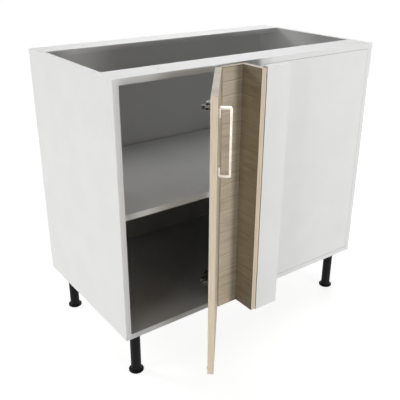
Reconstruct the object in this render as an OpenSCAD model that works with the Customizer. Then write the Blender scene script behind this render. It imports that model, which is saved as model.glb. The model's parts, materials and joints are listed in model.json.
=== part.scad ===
/* [Carcass] */
// Outside width of the carcass
carcass_w = 900; // [800:10:1100]
// Outside height of the carcass, without its legs
carcass_h = 720; // [640:10:820]
// Depth of the side panels, front to back
side_d = 500; // [420:10:600]
// Thickness of the carcass boards
board_t = 16; // [15:1:19]
// Thickness of the back sheet
back_t = 3; // [2.5:0.5:5]
// Margin that the back sheet stays inside the outline
back_margin = 1; // [0:0.5:3]
// Width of the flat top rails, front to back
rail_w = 85; // [70:5:120]
// Gap round the fixed front panel
reveal = 0.8; // [0.3:0.1:1.5]
// Distance from the carcass's left side to the fixed panel's free edge
panel_left = 300; // [260:5:400]
// Diameter of the worktop screw holes in the rails
worktop_hole_d = 5; // [4:0.5:8]
// Distance of the worktop screw holes from each side
worktop_hole_inset = 150; // [80:10:250]

/* [Shelf] */
// Height of the shelf's underside above the carcass base
shelf_z = 352; // [250:4:450]
// Gap between the shelf and each side
shelf_gap = 0.8; // [0.3:0.1:2]
// Gap between the shelf's front edge and the back of the fixed panel
shelf_front_gap = 1; // [0.5:0.5:10]
// Gap between the shelf and the back sheet
shelf_back_gap = 6; // [1:1:30]
// Diameter of the shelf pins' pegs
pin_peg_d = 5; // [3:0.5:6]
// Depth of the shelf pins' pegs in the sides
pin_peg_depth = 9; // [6:1:11]
// Distance of the shelf pins from the front and back edges of the shelf
pin_inset = 50; // [30:5:100]
// Length of the tongue under the shelf
pin_tongue = 10; // [6:1:16]
// Width of the tongue under the shelf
pin_tongue_w = 12; // [8:1:20]
// Thickness of the tongue under the shelf
pin_tongue_t = 2; // [1.5:0.5:3]
// Spare shelf holes above and below each pin
spare_holes = 2; // [0:1:4]
// Spacing of the shelf holes
hole_pitch = 32; // [20:1:40]

/* [Corner filler and post] */
// Thickness of the wood fronts
front_t = 16; // [15:1:19]
// Gap between the carcass front and the back of the wood fronts
front_gap = 2; // [1.5:0.5:3]
// Gap above and below the wood fronts
front_margin = 3; // [2:0.5:5]
// Gap between the fixed panel's free edge and the filler
filler_offset = 1; // [0:0.5:4]
// Width of the filler that lies parallel to the front
filler_w = 69; // [50:1:100]
// Distance that the filler's return stands out from the carcass front
return_reach = 90; // [60:5:120]
// Width of the post board at the corner
post_w = 80; // [60:5:120]
// Joint between the filler's return and the post board
post_gap = 2; // [0.5:0.5:3]
// Rounding of the wood fronts' edges
edge_r = 1; // [0.3:0.1:1.5]
// Diameter of the screws in the filler
filler_screw_d = 4; // [3:0.5:5]
// Distance of the filler's end screws from the carcass base and top
filler_screw_inset = 46; // [35:1:56]
// Distance of the return's end screws from the carcass base and top
return_screw_inset = 63; // [55:1:80]
// Diameter of the spacer pads behind the filler
spacer_d = 20; // [14:1:30]

/* [Corner brackets] */
// Length of each leg of the steel angle brackets
bracket_leg = 30; // [20:1:32]
// Height of the angle brackets
bracket_h = 20; // [14:1:40]
// Thickness of the angle brackets
bracket_t = 1.8; // [1.5:0.1:1.9]
// Distance of the brackets from the ends of the filler's return
bracket_inset = 90; // [85:5:150]
// Distance of the bracket holes from the ends of its legs
bracket_hole_inset = 12; // [8:1:14]

/* [Door] */
// Gap between the door's free edge and the carcass's left side
door_left_gap = 1; // [0:0.5:3]
// Gap between the door's hinge edge and the fixed panel's free edge
door_right_gap = 2; // [1.5:0.5:4]
// Angle at which the door stands open
door_angle = 50.6; // [20:0.1:80]
// Angle at which the hinges stop
door_stop_angle = 95; // [85:1:96]
// Diameter of the door buffers
buffer_d = 8; // [6:1:12]
// Thickness of the door buffers
buffer_t = 1.7; // [1:0.1:1.9]
// Distance of the buffers from the door's ends
buffer_inset = 14; // [8:1:30]

/* [Handle] */
// Hole spacing of the handle
handle_pitch = 128; // [96:32:160]
// Overall length of the handle
handle_len = 160; // [150:1:200]
// Stand-off of the handle's outer face from the door
handle_reach = 30; // [24:1:40]
// Thickness of the handle's strip
handle_t = 5; // [4:0.5:7]
// Width of the handle's strip
handle_w = 11; // [8:0.5:16]
// Length of the handle's inturned feet
handle_foot = 23; // [20:1:30]
// Distance of the handle from the door's free edge
handle_inset = 40; // [30:1:60]
// Distance of the handle's middle below the door's top end
handle_drop = 112; // [110:2:200]
// Outside radius of the handle's bends
handle_bend_r = 4; // [2.5:0.5:8]
// Diameter of the handle screws
handle_screw_d = 4; // [3:0.5:5]

/* [Hinges] */
// Distance of the hinges from the ends of the door
hinge_inset = 100; // [80:5:160]
// Diameter of the hinge cup
cup_d = 35; // [34:1:40]
// Depth of the hinge cup
cup_depth = 12; // [11:0.5:12.5]
// Distance from the door's edge to the cup
cup_edge = 5; // [4:0.5:8]
// Wall thickness of the cup
cup_wall = 1.3; // [1:0.1:1.5]
// Thickness of the cup's flange
cup_flange_t = 1.2; // [1:0.1:1.4]
// Spacing of the two cup screws
cup_screw_pitch = 45; // [42:1:52]
// Offset of the cup screws from the cup's centre, away from the edge
cup_screw_offset = 9.5; // [6:0.5:10]
// Diameter of the link pins
link_pin_d = 2.5; // [2:0.1:3]
// Width of the links
link_w = 5.2; // [4.6:0.2:5.6]
// Depth of the cup pins below the door's inner face
cup_pin_depth = 4.4; // [4.2:0.1:4.6]
// Offset of the near cup pin from the cup's centre, towards the edge
cup_pin_offset = 0.5; // [0.3:0.1:0.8]
// Spacing of the two cup pins
cup_pin_pitch = 9; // [8.9:0.1:9.3]
// Distance of the arm's front pin from the fixed panel's free edge
arm_pin_offset = 16; // [15:0.5:17]
// Distance of the arm's front pin behind the carcass front
arm_pin_setback = 3; // [3:0.5:5]
// Spacing of the two arm pins
arm_pin_pitch = 12.4; // [11:0.1:14]
// Thickness of the hinge arm's sheet
arm_t = 1.5; // [1:0.1:1.8]
// Distance that the arm reaches behind the fixed panel
arm_reach = 50; // [44:1:60]
// Height of the arm's outer face above the fixed panel's back
arm_height = 12; // [11.5:0.5:14]
// Thickness of the mounting plate's wings
plate_t = 1.7; // [1.5:0.1:2.2]
// Distance of the mounting plate's screws from the fixed panel's free edge
plate_screw_inset = 28; // [25:1:30]
// Spacing of the mounting plate's screws
plate_screw_pitch = 32; // [30:1:36]
// Diameter of the screws in the cup and the mounting plate
hinge_screw_d = 3.8; // [3:0.1:4.2]

/* [Legs] */
// Height of the legs
leg_h = 150; // [130:5:180]
// Diameter of the leg tubes
tube_d = 30; // [26:1:36]
// Diameter of the feet
foot_d = 44; // [40:1:60]
// Height of the feet
foot_h = 17; // [14:1:24]
// Distance of the legs from the sides
leg_inset_x = 50; // [40:1:80]
// Distance of the front legs from the carcass front
leg_inset_front = 44; // [40:1:80]
// Distance of the rear legs from the ends of the side panels
leg_inset_back = 40; // [36:1:80]
// Side of the square leg socket plate
socket_plate = 60; // [56:1:72]
// Diameter of the foot's threaded stem
stem_d = 10; // [8:1:14]
// Length of the foot's threaded stem
stem_len = 36; // [30:1:50]

/* [Joints in the boards] */
// Diameter of the dowels
dowel_d = 8; // [6:1:10]
// Length of the dowels
dowel_len = 30; // [24:1:34]
// Diameter of the cam locks
cam_d = 15; // [12:1:15]
// Distance of the cam locks from the boards' ends
cam_reach = 34; // [24:1:40]
// Thickness of board left over each cam
cam_cover = 3.5; // [3:0.5:5]
// Distance of the bottom panel's cams from its front and back edges
cam_inset_low = 110; // [80:5:150]
// Distance of the rails' cams from the front and back of the side panels
cam_inset_high = 30; // [24:1:45]
// Spacing between a cam and the dowel beside it
cam_to_dowel = 32; // [24:1:40]
// Distance of the fixed panel's dowels from its two upright edges
panel_dowel_inset = 150; // [100:10:180]

/* [Hidden] */
$fn = 48;

// Colours of the melamine, the wood decor, steel, handle, plastics and dowels
white = "#e4e4e2";
wood = "#9a8669";
steel = "#b4b6b8";
bright = "#e6e1d3";
black = "#161617";
felt = "#d8d8d4";
beech = "#d2b384";

// Small clearances, and how far a cutter runs past the face that it cuts
fit = 0.05;
seat = 0.1;
eps = 0.01;
over = 1;

// Boards
inner_right = carcass_w - board_t;
top_z = carcass_h - board_t;
panel_right = inner_right - reveal;
panel_z0 = board_t + reveal;
panel_h = top_z - reveal - panel_z0;
rail_len = inner_right - board_t;
shelf_y0 = board_t + shelf_front_gap;
shelf_y1 = side_d - shelf_back_gap;

// Wood fronts, measured from the carcass front, which is y = 0
front_y0 = -front_gap - front_t;
front_z0 = front_margin;
front_h = carcass_h - 2 * front_margin;
filler_x0 = panel_left + filler_offset;
return_x0 = filler_x0 + filler_w;
return_x1 = return_x0 + front_t;
post_y0 = -return_reach;
post_y1 = post_y0 + board_t;
post_x0 = return_x1 + post_gap;

// Door, drawn closed and then swung
door_x0 = door_left_gap;
door_x1 = panel_left - door_right_gap;
hinge_zs = [front_z0 + hinge_inset, front_z0 + front_h - hinge_inset];

// The links turn the door about this point, just off its front corner
pole_gap = 1.5;
pole = [door_x1 + pole_gap, front_y0];

function dir(a) = [cos(a), sin(a)];
function angle_of(v) = atan2(v[1], v[0]);
function swung(p) = pole + norm(p - pole) * dir(angle_of(p - pole) + door_angle);

// Pivots of the hinge in plan, with the door closed. The links form two
// parallelograms about the pole: each link keeps the length and the direction
// of the line from the pole to the pin at its partner's end.
cup_x = door_x1 - cup_edge - cup_d / 2;
arm_pin_front = [panel_left - arm_pin_offset, arm_pin_setback];
cup_pin_near = [cup_x + cup_pin_offset, -front_gap - cup_pin_depth];
arm_pin_line = angle_of(cup_pin_near - pole) + door_stop_angle / 2 - 90;
cup_pin_line = angle_of(arm_pin_front - pole) - door_stop_angle / 2 + 90;
arm_pin_rear = arm_pin_front + arm_pin_pitch * dir(arm_pin_line);
cup_pin_far = cup_pin_near + cup_pin_pitch * dir(cup_pin_line);
crossing_pin = arm_pin_front + cup_pin_near - pole;
main_end_pin = arm_pin_front + cup_pin_far - pole;
cross_end_pin = cup_pin_near + arm_pin_rear - pole;

// Layers of the hinge along its pins, as distances from its middle: the inner
// links, then the cheeks of the outer links, then the walls of the arm
link_bore_r = link_pin_d / 2 + fit;
link_gap = 0.3;
cheek_t = 2;
eye_lip = 0.2;
arm_gap = 0.4;
inner_half = 3;
cheek_in = inner_half + link_gap;
cheek_out = cheek_in + cheek_t;
arm_in = cheek_out + arm_gap;
arm_out = arm_in + arm_t;

// The cup and its place in the door
cup_bore_r = cup_d / 2 + seat;
cup_inner_r = cup_d / 2 - cup_wall;
cup_floor = 1;
flange_lip = 1.5;
flange_r = cup_d / 2 + flange_lip;
cup_wing = 7;
cup_screw_x = cup_x - cup_screw_offset;
cup_screw_zs = [-cup_screw_pitch / 2, cup_screw_pitch / 2];
cup_screw_bite = 11;

// The plate on the back of the fixed panel, its boss, and the arm over the boss
panel_back = board_t;
plate_screw_x = panel_left + plate_screw_inset;
plate_screw_bite = 11;
plate_wing = 6;
plate_end = 8;
wing_corner_r = 5;
boss_gap = 0.3;
arm_lift = 0.8;
arm_y0 = panel_back + plate_t + arm_lift;
arm_y1 = panel_back + arm_height;
arm_x1 = panel_left + arm_reach;
elbow = [panel_left - 10, (arm_y0 + arm_y1) / 2];
web_x0 = panel_left - 6;
boss_x0 = panel_left + 8;
boss_x1 = arm_x1 - 4;
boss_half = arm_in - boss_gap;
boss_y1 = arm_y1 - arm_t - boss_gap;
arm_nose_r = 3.4;
arm_screw_d = 5;
arm_screw_xs = [boss_x0 + arm_screw_d, boss_x1 - arm_screw_d];
arm_screw_slot = [4, 0.7, 1];

// Screws through the fixed panel into the filler, and through the return
filler_screw_x = filler_x0 + filler_w / 2;
filler_screw_zs = [filler_screw_inset, carcass_h / 3, carcass_h * 2 / 3, carcass_h - filler_screw_inset];
filler_screw_bite = 11;
return_screw_zs = [return_screw_inset, carcass_h / 2, carcass_h - return_screw_inset];
return_screw_bite = 34;

// Screws: head thickness, head diameter at its underside and on top in shank
// diameters, and the room round and beyond the shank in its hole
head_t = 2;
head_base = 2;
head_top = 1.6;
screw_pilot = 0.1;
screw_tip_gap = 0.3;

// Angle brackets behind the post board
bracket_zs = [front_z0 + bracket_inset, front_z0 + front_h - bracket_inset - bracket_h];
bracket_hole = bracket_leg - bracket_hole_inset;
bracket_screw_d = 3.5;
bracket_screw_bite = 12;

// Board joints
cam_bore_depth = board_t - cam_cover;
cam_gap = 0.2;
cam_key_d = 5;
cam_key_depth = 2;
bolt_shaft_d = 7;
bolt_thread_d = 5;
bolt_in_side = 11;
bolt_reach = cam_reach - cam_d / 2 - cam_gap;
dowel_in_side = 10;
bore_end_gap = 0.3;
panel_dowel_end = dowel_in_side - bore_end_gap;
function mirrored(inset) = [inset, side_d - inset];
low_cam_ys = mirrored(cam_inset_low);
low_dowel_ys = mirrored(cam_inset_low + cam_to_dowel);
rail_cam_ys = mirrored(cam_inset_high);
rail_dowel_ys = mirrored(cam_inset_high + cam_to_dowel);
low_z = board_t / 2;
high_z = top_z + board_t / 2;
panel_dowel_zs = [carcass_h / 6, carcass_h * 5 / 6];
panel_dowel_xs = [panel_left + panel_dowel_inset, panel_right - panel_dowel_inset];

// Shelf pins: a peg with a collar in the side, and a tongue on a gusset
pin_ys = [shelf_y0 + pin_inset, shelf_y1 - pin_inset];
pin_z = shelf_z - pin_tongue_t - pin_peg_d / 2;
shelf_hole_zs = [for (i = [-spare_holes : spare_holes]) pin_z + i * hole_pitch];
pin_collar_t = 1.5;
pin_collar_d = pin_peg_d + 2.5;
pin_gusset_t = 2;
pin_gusset_drop = 3;

// The handle's middle, the metal left over its screws, and how far they run in
handle_z = front_z0 + front_h - handle_drop;
handle_skin = 1.5;
handle_thread = handle_t - handle_skin;

// Legs
leg_xs = [leg_inset_x, carcass_w - leg_inset_x];
leg_ys = [leg_inset_front, side_d - leg_inset_back];
socket_t = 4;
socket_h = 24;
socket_wall = 3;
socket_corner_r = 8;
socket_rib_t = 2;
socket_rib_inset = 2;
socket_rib_end = 4;
socket_rib_sink = 2;
sleeve_r = tube_d / 2 + socket_wall;
leg_screw_pitch = socket_plate - 14;
leg_screw_d = 3.5;
leg_screw_bite = 12;
tube_chamfer = 1.5;
foot_pad_h = 5;
foot_edge = 1.5;
foot_rim = 2;
foot_lip = 1;
stem_gap = 4;

// The frame's origin: under the middle of the whole outline, on the floor
outline_front = swung([door_x0, front_y0])[1];
origin = [carcass_w / 2, (outline_front + side_d + back_t) / 2, -leg_h];

module in_frame() {
    translate(-origin) children();
}

module swing() {
    translate([pole[0], pole[1], 0]) rotate([0, 0, door_angle])
        translate([-pole[0], -pole[1], 0]) children();
}

// Puts a copy at each hinge's height
module at_hinges() {
    for (z = hinge_zs) translate([0, 0, z]) children();
}

// Turns what is drawn on the z axis to point along +x, +y or -y
module along_x() { rotate([0, 90, 0]) children(); }
module along_y() { rotate([-90, 0, 0]) children(); }
module along_minus_y() { rotate([90, 0, 0]) children(); }

// A flat link in plan: a round eye of radius r at each point, and straps between
module chain(points, r) {
    for (p = points) translate(p) circle(r);
    for (i = [1 : len(points) - 1]) {
        run = points[i] - points[i - 1];
        translate(points[i - 1]) rotate(angle_of(run)) translate([0, eye_lip - r])
            square([norm(run), 2 * (r - eye_lip)]);
    }
}

module rounded_square(w, h, r) {
    square([w - 2 * r, h], center = true);
    square([w, h - 2 * r], center = true);
    for (x = [-1, 1], y = [-1, 1]) translate([x * (w / 2 - r), y * (h / 2 - r)]) circle(r);
}

// A front from its lower left corner, with every edge rounded: the outlines seen
// from above, from the front and from the side, intersected
module front_board(w, d, h) {
    intersection() {
        linear_extrude(h) translate([w, d] / 2) rounded_square(w, d, edge_r);
        translate([0, d, 0]) along_minus_y() linear_extrude(d) translate([w, h] / 2)
            rounded_square(w, h, edge_r);
        rotate([90, 0, 90]) linear_extrude(w) translate([d, h] / 2) rounded_square(d, h, edge_r);
    }
}

// A screw along +z with its head under the origin: head, then shank
module screw(d, len) {
    translate([0, 0, -head_t]) cylinder(d1 = d * head_top, d2 = d * head_base, h = head_t);
    cylinder(d = d, h = len);
}

module screw_hole(d, len) {
    translate([0, 0, -eps]) cylinder(d = d + 2 * screw_pilot, h = len + screw_tip_gap + eps);
}

// Mirrors what is drawn at the left side to the right side
module both_sides() {
    children();
    translate([carcass_w, 0, 0]) mirror([1, 0, 0]) children();
}

// Places along the side where a bolt or a dowel goes in: [y, z]
cam_spots = [for (y = low_cam_ys) [y, low_z], for (y = rail_cam_ys) [y, high_z]];
dowel_spots = [for (y = low_dowel_ys) [y, low_z], for (y = rail_dowel_ys) [y, high_z]];

module side_bores() {
    for (s = cam_spots) translate([board_t - bolt_in_side - bore_end_gap, s[0], s[1]])
        along_x() cylinder(d = bolt_thread_d + 2 * fit, h = bolt_in_side + over);
    for (s = dowel_spots) translate([board_t - dowel_in_side - bore_end_gap, s[0], s[1]])
        along_x() cylinder(d = dowel_d + 2 * fit, h = dowel_in_side + over);
    for (y = pin_ys, z = shelf_hole_zs) translate([board_t - pin_peg_depth - bore_end_gap, y, z])
        along_x() cylinder(d = pin_peg_d + 2 * fit, h = pin_peg_depth + over);
}

// Bores in a board's left end, for its cams and dowels
module board_bores(cam_ys, dowel_ys, z0) {
    both_sides() {
        for (y = cam_ys) {
            translate([board_t + cam_reach, y, z0 - eps])
                cylinder(d = cam_d + 2 * seat, h = cam_bore_depth + eps);
            translate([board_t - eps, y, z0 + board_t / 2]) along_x()
                cylinder(d = bolt_shaft_d + 2 * fit, h = cam_reach);
        }
        for (y = dowel_ys) translate([board_t - eps, y, z0 + board_t / 2]) along_x()
            cylinder(d = dowel_d + 2 * fit, h = dowel_len - dowel_in_side + bore_end_gap);
    }
}

module upright_dowel_bores() {
    for (x = panel_dowel_xs) translate([x, board_t / 2, 0]) children();
}

module side_panel_left() {
    color(white) in_frame() difference() {
        cube([board_t, side_d, carcass_h]);
        side_bores();
    }
}

module side_panel_right() {
    color(white) in_frame() difference() {
        translate([inner_right, 0, 0]) cube([board_t, side_d, carcass_h]);
        translate([carcass_w, 0, 0]) mirror([1, 0, 0]) side_bores();
        for (z = panel_dowel_zs) translate([inner_right - over, board_t / 2, z]) along_x()
            cylinder(d = dowel_d + 2 * fit, h = dowel_in_side + over);
    }
}

module bottom_panel() {
    color(white) in_frame() difference() {
        translate([board_t, 0, 0]) cube([rail_len, side_d, board_t]);
        board_bores(low_cam_ys, low_dowel_ys, 0);
        upright_dowel_bores() translate([0, 0, board_t - dowel_in_side])
            cylinder(d = dowel_d + 2 * fit, h = dowel_in_side + over);
        for (x = leg_xs, y = leg_ys) translate([x, y, 0]) leg_screw_spots()
            screw_hole(leg_screw_d, leg_screw_bite);
    }
}

module rail(y0, cam_y, dowel_y) {
    difference() {
        translate([board_t, y0, top_z]) cube([rail_len, rail_w, board_t]);
        board_bores([cam_y], [dowel_y], top_z);
        for (x = [worktop_hole_inset, carcass_w - worktop_hole_inset])
            translate([x, y0 + rail_w / 2, top_z - over])
                cylinder(d = worktop_hole_d, h = board_t + 2 * over);
    }
}

module front_rail() {
    color(white) in_frame() difference() {
        rail(0, rail_cam_ys[0], rail_dowel_ys[0]);
        upright_dowel_bores() translate([0, 0, top_z - over])
            cylinder(d = dowel_d + 2 * fit, h = dowel_in_side + over);
    }
}

module back_rail() {
    color(white) in_frame() rail(side_d - rail_w, rail_cam_ys[1], rail_dowel_ys[1]);
}

module back_sheet() {
    color(white) in_frame() translate([back_margin, side_d, back_margin])
        cube([carcass_w - 2 * back_margin, back_t, carcass_h - 2 * back_margin]);
}

// The fixed panel fills the front behind the filler and the post
module fixed_front_panel() {
    color(white) in_frame() difference() {
        translate([panel_left, 0, panel_z0]) cube([panel_right - panel_left, board_t, panel_h]);
        for (z = panel_dowel_zs) translate([panel_right - dowel_len, board_t / 2, z]) along_x()
            cylinder(d = dowel_d + 2 * fit, h = dowel_len + over);
        upright_dowel_bores() {
            for (z = [panel_z0 - over, panel_z0 + panel_h - dowel_len]) translate([0, 0, z])
                cylinder(d = dowel_d + 2 * fit, h = dowel_len + over);
        }
        for (z = filler_screw_zs) translate([filler_screw_x, board_t, z]) along_minus_y()
            screw_hole(filler_screw_d, board_t + over);
        at_hinges() for (z = [-1, 1]) translate([plate_screw_x, panel_back, z * plate_screw_pitch / 2])
            along_minus_y() screw_hole(hinge_screw_d, plate_screw_bite);
        for (z = bracket_zs) translate([return_x1 + bracket_hole, 0, z + bracket_h / 2])
            along_y() screw_hole(bracket_screw_d, bracket_screw_bite - bracket_t);
    }
}

module shelf() {
    color(white) in_frame() translate([board_t + shelf_gap, shelf_y0, shelf_z])
        cube([rail_len - 2 * shelf_gap, shelf_y1 - shelf_y0, board_t]);
}

module shelf_pins() {
    color(steel) in_frame() both_sides() for (y = pin_ys) translate([board_t, y, 0]) {
        translate([-pin_peg_depth, 0, pin_z]) along_x()
            cylinder(d = pin_peg_d, h = pin_peg_depth + pin_collar_t);
        translate([0, 0, pin_z]) along_x() cylinder(d = pin_collar_d, h = pin_collar_t);
        translate([0, -pin_tongue_w / 2, shelf_z - pin_tongue_t])
            cube([pin_tongue, pin_tongue_w, pin_tongue_t]);
        translate([0, pin_gusset_t / 2, 0]) along_minus_y() linear_extrude(pin_gusset_t)
            polygon([[0, pin_z - pin_gusset_drop], [pin_collar_t, pin_z - pin_gusset_drop],
                [pin_tongue, shelf_z - pin_tongue_t], [pin_tongue, shelf_z - pin_tongue_t / 2],
                [0, shelf_z - pin_tongue_t / 2]]);
    }
}

module wood_dowels() {
    color(beech) in_frame() {
        both_sides() for (s = dowel_spots) translate([board_t - dowel_in_side, s[0], s[1]])
            along_x() cylinder(d = dowel_d, h = dowel_len);
        for (z = panel_dowel_zs) translate([inner_right + panel_dowel_end - dowel_len, board_t / 2, z])
            along_x() cylinder(d = dowel_d, h = dowel_len);
        upright_dowel_bores() for (z = [board_t - panel_dowel_end, top_z + panel_dowel_end - dowel_len])
            translate([0, 0, z]) cylinder(d = dowel_d, h = dowel_len);
    }
}

module cam(z0) {
    translate([board_t + cam_reach, 0, z0]) difference() {
        cylinder(d = cam_d, h = cam_bore_depth - cam_gap);
        translate([0, 0, -eps]) cylinder(d = cam_key_d, h = cam_key_depth, $fn = 6);
    }
}

module cam_locks() {
    color(steel) in_frame() both_sides() {
        for (y = low_cam_ys) translate([0, y, 0]) cam(0);
        for (y = rail_cam_ys) translate([0, y, 0]) cam(top_z);
    }
}

module cam_bolts() {
    color(steel) in_frame() both_sides() for (s = cam_spots) translate([board_t, s[0], s[1]]) along_x() {
        translate([0, 0, -bolt_in_side]) cylinder(d = bolt_thread_d, h = bolt_in_side + eps);
        cylinder(d = bolt_shaft_d, h = bolt_reach);
    }
}

module corner_filler() {
    color(wood) in_frame() difference() {
        translate([filler_x0, front_y0, front_z0]) front_board(filler_w, front_t, front_h);
        for (z = filler_screw_zs) translate([filler_screw_x, -front_gap, z]) along_minus_y()
            screw_hole(filler_screw_d, filler_screw_bite);
        for (z = return_screw_zs) translate([return_x0, front_y0 + front_t / 2, z]) rotate([0, -90, 0])
            screw_hole(filler_screw_d, return_screw_bite);
    }
}

module corner_return() {
    color(wood) in_frame() difference() {
        translate([return_x0, -return_reach, front_z0])
            front_board(front_t, return_reach - front_gap, front_h);
        for (z = return_screw_zs) translate([return_x1, front_y0 + front_t / 2, z]) rotate([0, -90, 0])
            screw_hole(filler_screw_d, front_t + over);
        bracket_places() rotate([0, -90, 0]) screw_hole(bracket_screw_d, bracket_screw_bite - bracket_t);
    }
}

module corner_post_board() {
    color(white) in_frame() difference() {
        translate([post_x0, post_y0, 0]) cube([post_w, board_t, carcass_h]);
        for (z = bracket_zs) translate([return_x1 + bracket_hole, post_y1, z + bracket_h / 2])
            along_minus_y() screw_hole(bracket_screw_d, bracket_screw_bite - bracket_t);
    }
}

// Points on the return's hidden face where a bracket's screw goes in
module bracket_places() {
    for (z = bracket_zs, y = [post_y1 + bracket_hole, -bracket_hole])
        translate([return_x1, y, z + bracket_h / 2]) children();
}

module filler_spacers() {
    color(felt) in_frame() for (z = filler_screw_zs) translate([filler_screw_x, -front_gap, z]) along_y()
        difference() {
            cylinder(d = spacer_d, h = front_gap);
            translate([0, 0, -over])
                cylinder(d = filler_screw_d + 2 * screw_pilot, h = front_gap + 2 * over);
        }
}

module filler_screws() {
    color(steel) in_frame() for (z = filler_screw_zs) translate([filler_screw_x, board_t, z])
        along_minus_y() screw(filler_screw_d, board_t + front_gap + filler_screw_bite);
}

module return_screws() {
    color(steel) in_frame() for (z = return_screw_zs) translate([return_x1, front_y0 + front_t / 2, z])
        rotate([0, -90, 0]) screw(filler_screw_d, front_t + return_screw_bite);
}

// One angle bracket in plan, its corner at the origin, its legs along +x and +y
module bracket() {
    difference() {
        linear_extrude(bracket_h) {
            square([bracket_leg, bracket_t]);
            square([bracket_t, bracket_leg]);
        }
        translate([bracket_hole, -over, bracket_h / 2]) along_y()
            cylinder(d = bracket_screw_d + 2 * screw_pilot, h = bracket_t + 2 * over);
        translate([-over, bracket_hole, bracket_h / 2]) along_x()
            cylinder(d = bracket_screw_d + 2 * screw_pilot, h = bracket_t + 2 * over);
    }
}

module corner_brackets() {
    color(steel) in_frame() for (z = bracket_zs) translate([return_x1, 0, z]) {
        translate([0, post_y1, 0]) bracket();
        mirror([0, 1, 0]) bracket();
    }
}

module bracket_screws() {
    color(steel) in_frame() {
        bracket_places() translate([bracket_t, 0, 0]) rotate([0, -90, 0])
            screw(bracket_screw_d, bracket_screw_bite);
        for (z = bracket_zs) translate([return_x1 + bracket_hole, 0, z + bracket_h / 2]) {
            translate([0, -bracket_t, 0]) along_y() screw(bracket_screw_d, bracket_screw_bite);
            translate([0, post_y1 + bracket_t, 0]) along_minus_y()
                screw(bracket_screw_d, bracket_screw_bite);
        }
    }
}

// Mounting plate: wings with the screws, and the boss inside the arm
module hinge_plates() {
    color(steel) in_frame() at_hinges() difference() {
        union() {
            translate([plate_screw_x, panel_back, 0]) along_y() linear_extrude(plate_t)
                rounded_square(2 * plate_wing, plate_screw_pitch + 2 * plate_end, wing_corner_r);
            translate([boss_x0, panel_back, -boss_half])
                cube([boss_x1 - boss_x0, boss_y1 - panel_back, 2 * boss_half]);
        }
        for (z = [-1, 1]) translate([plate_screw_x, panel_back - over, z * plate_screw_pitch / 2])
            along_y() cylinder(d = hinge_screw_d + 2 * screw_pilot, h = plate_t + 2 * over);
        for (x = arm_screw_xs) translate([x, panel_back + plate_t, 0]) along_y()
            cylinder(d = arm_screw_d + 2 * fit, h = arm_height);
    }
}

module hinge_plate_screws() {
    color(steel) in_frame() at_hinges() for (z = [-1, 1])
        translate([plate_screw_x, panel_back + plate_t, z * plate_screw_pitch / 2]) along_minus_y()
            screw(hinge_screw_d, plate_t + plate_screw_bite);
}

module arm_outline() {
    difference() {
        union() {
            chain([arm_pin_front, arm_pin_rear], arm_nose_r);
            chain([arm_pin_rear, elbow], (arm_y1 - arm_y0) / 2);
            translate([elbow[0], arm_y0]) square([arm_x1 - elbow[0], arm_y1 - arm_y0]);
        }
        for (p = [arm_pin_front, arm_pin_rear]) translate(p) circle(link_bore_r);
    }
}

// Hinge arm: a folded channel that carries the two arm pins at its nose
module hinge_arms() {
    color(steel) in_frame() at_hinges() difference() {
        union() {
            for (z = [-arm_out, arm_in]) translate([0, 0, z]) linear_extrude(arm_t) arm_outline();
            translate([web_x0, arm_y1 - arm_t, -arm_out]) cube([arm_x1 - web_x0, arm_t, 2 * arm_out]);
        }
        for (x = arm_screw_xs) translate([x, arm_y1 - arm_t - over, 0]) along_y()
            cylinder(d = arm_screw_d + 2 * fit, h = arm_t + 2 * over);
    }
}

module hinge_arm_screws() {
    color(steel) in_frame() at_hinges() for (x = arm_screw_xs) translate([x, 0, 0]) difference() {
        translate([0, panel_back + plate_t + screw_tip_gap, 0]) along_y()
            cylinder(d = arm_screw_d, h = arm_y1 - panel_back - plate_t);
        translate([0, arm_y1 + screw_tip_gap, 0]) cube(arm_screw_slot, center = true);
    }
}

// A pin through the hinge at p, of a half length
module pin(p, half) {
    translate([p[0], p[1], -half]) cylinder(d = link_pin_d, h = 2 * half);
}

module hinge_arm_pins() {
    color(steel) in_frame() at_hinges() {
        pin(arm_pin_front, arm_out);
        pin(arm_pin_rear, arm_out);
    }
}

module link_outline(points, bores) {
    difference() {
        chain(points, link_w / 2);
        for (p = bores) translate(p) circle(link_bore_r);
    }
}

// A link in the middle layer, with a bore at each point. It turns with the door
// about its first point
module inner_link(points) {
    translate(points[0]) rotate([0, 0, door_angle]) translate(-points[0])
        translate([0, 0, -inner_half]) linear_extrude(2 * inner_half) link_outline(points, points);
}

module hinge_main_links() {
    color(steel) in_frame() at_hinges() inner_link([arm_pin_front, crossing_pin, main_end_pin]);
}

module hinge_arm_struts() {
    color(steel) in_frame() at_hinges() inner_link([arm_pin_rear, cross_end_pin]);
}

// A link in the outer layer: a pair of cheeks with a bore at the first point and
// a riveted pin at each other. It stays parallel to itself as the door swings
module cheek_link(points) {
    translate(swung(points[0]) - points[0]) {
        for (z = [-cheek_out, cheek_in]) translate([0, 0, z]) linear_extrude(cheek_t)
            link_outline(points, [points[0]]);
        for (i = [1 : len(points) - 1]) pin(points[i], cheek_out);
    }
}

module hinge_cross_links() {
    color(steel) in_frame() at_hinges() cheek_link([cup_pin_near, crossing_pin, cross_end_pin]);
}

module hinge_cup_struts() {
    color(steel) in_frame() at_hinges() cheek_link([cup_pin_far, main_end_pin]);
}

// Half length of a pin that ends inside the cup's wall
function cup_pin_half(p) = (cup_chord(cup_inner_r, p) + cup_chord(cup_d / 2, p)) / 2;
function cup_chord(r, p) = sqrt(r * r - (p[0] - cup_x) * (p[0] - cup_x));

module hinge_cup_pins() {
    color(steel) in_frame() swing() at_hinges() for (p = [cup_pin_near, cup_pin_far])
        pin(p, cup_pin_half(p));
}

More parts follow.
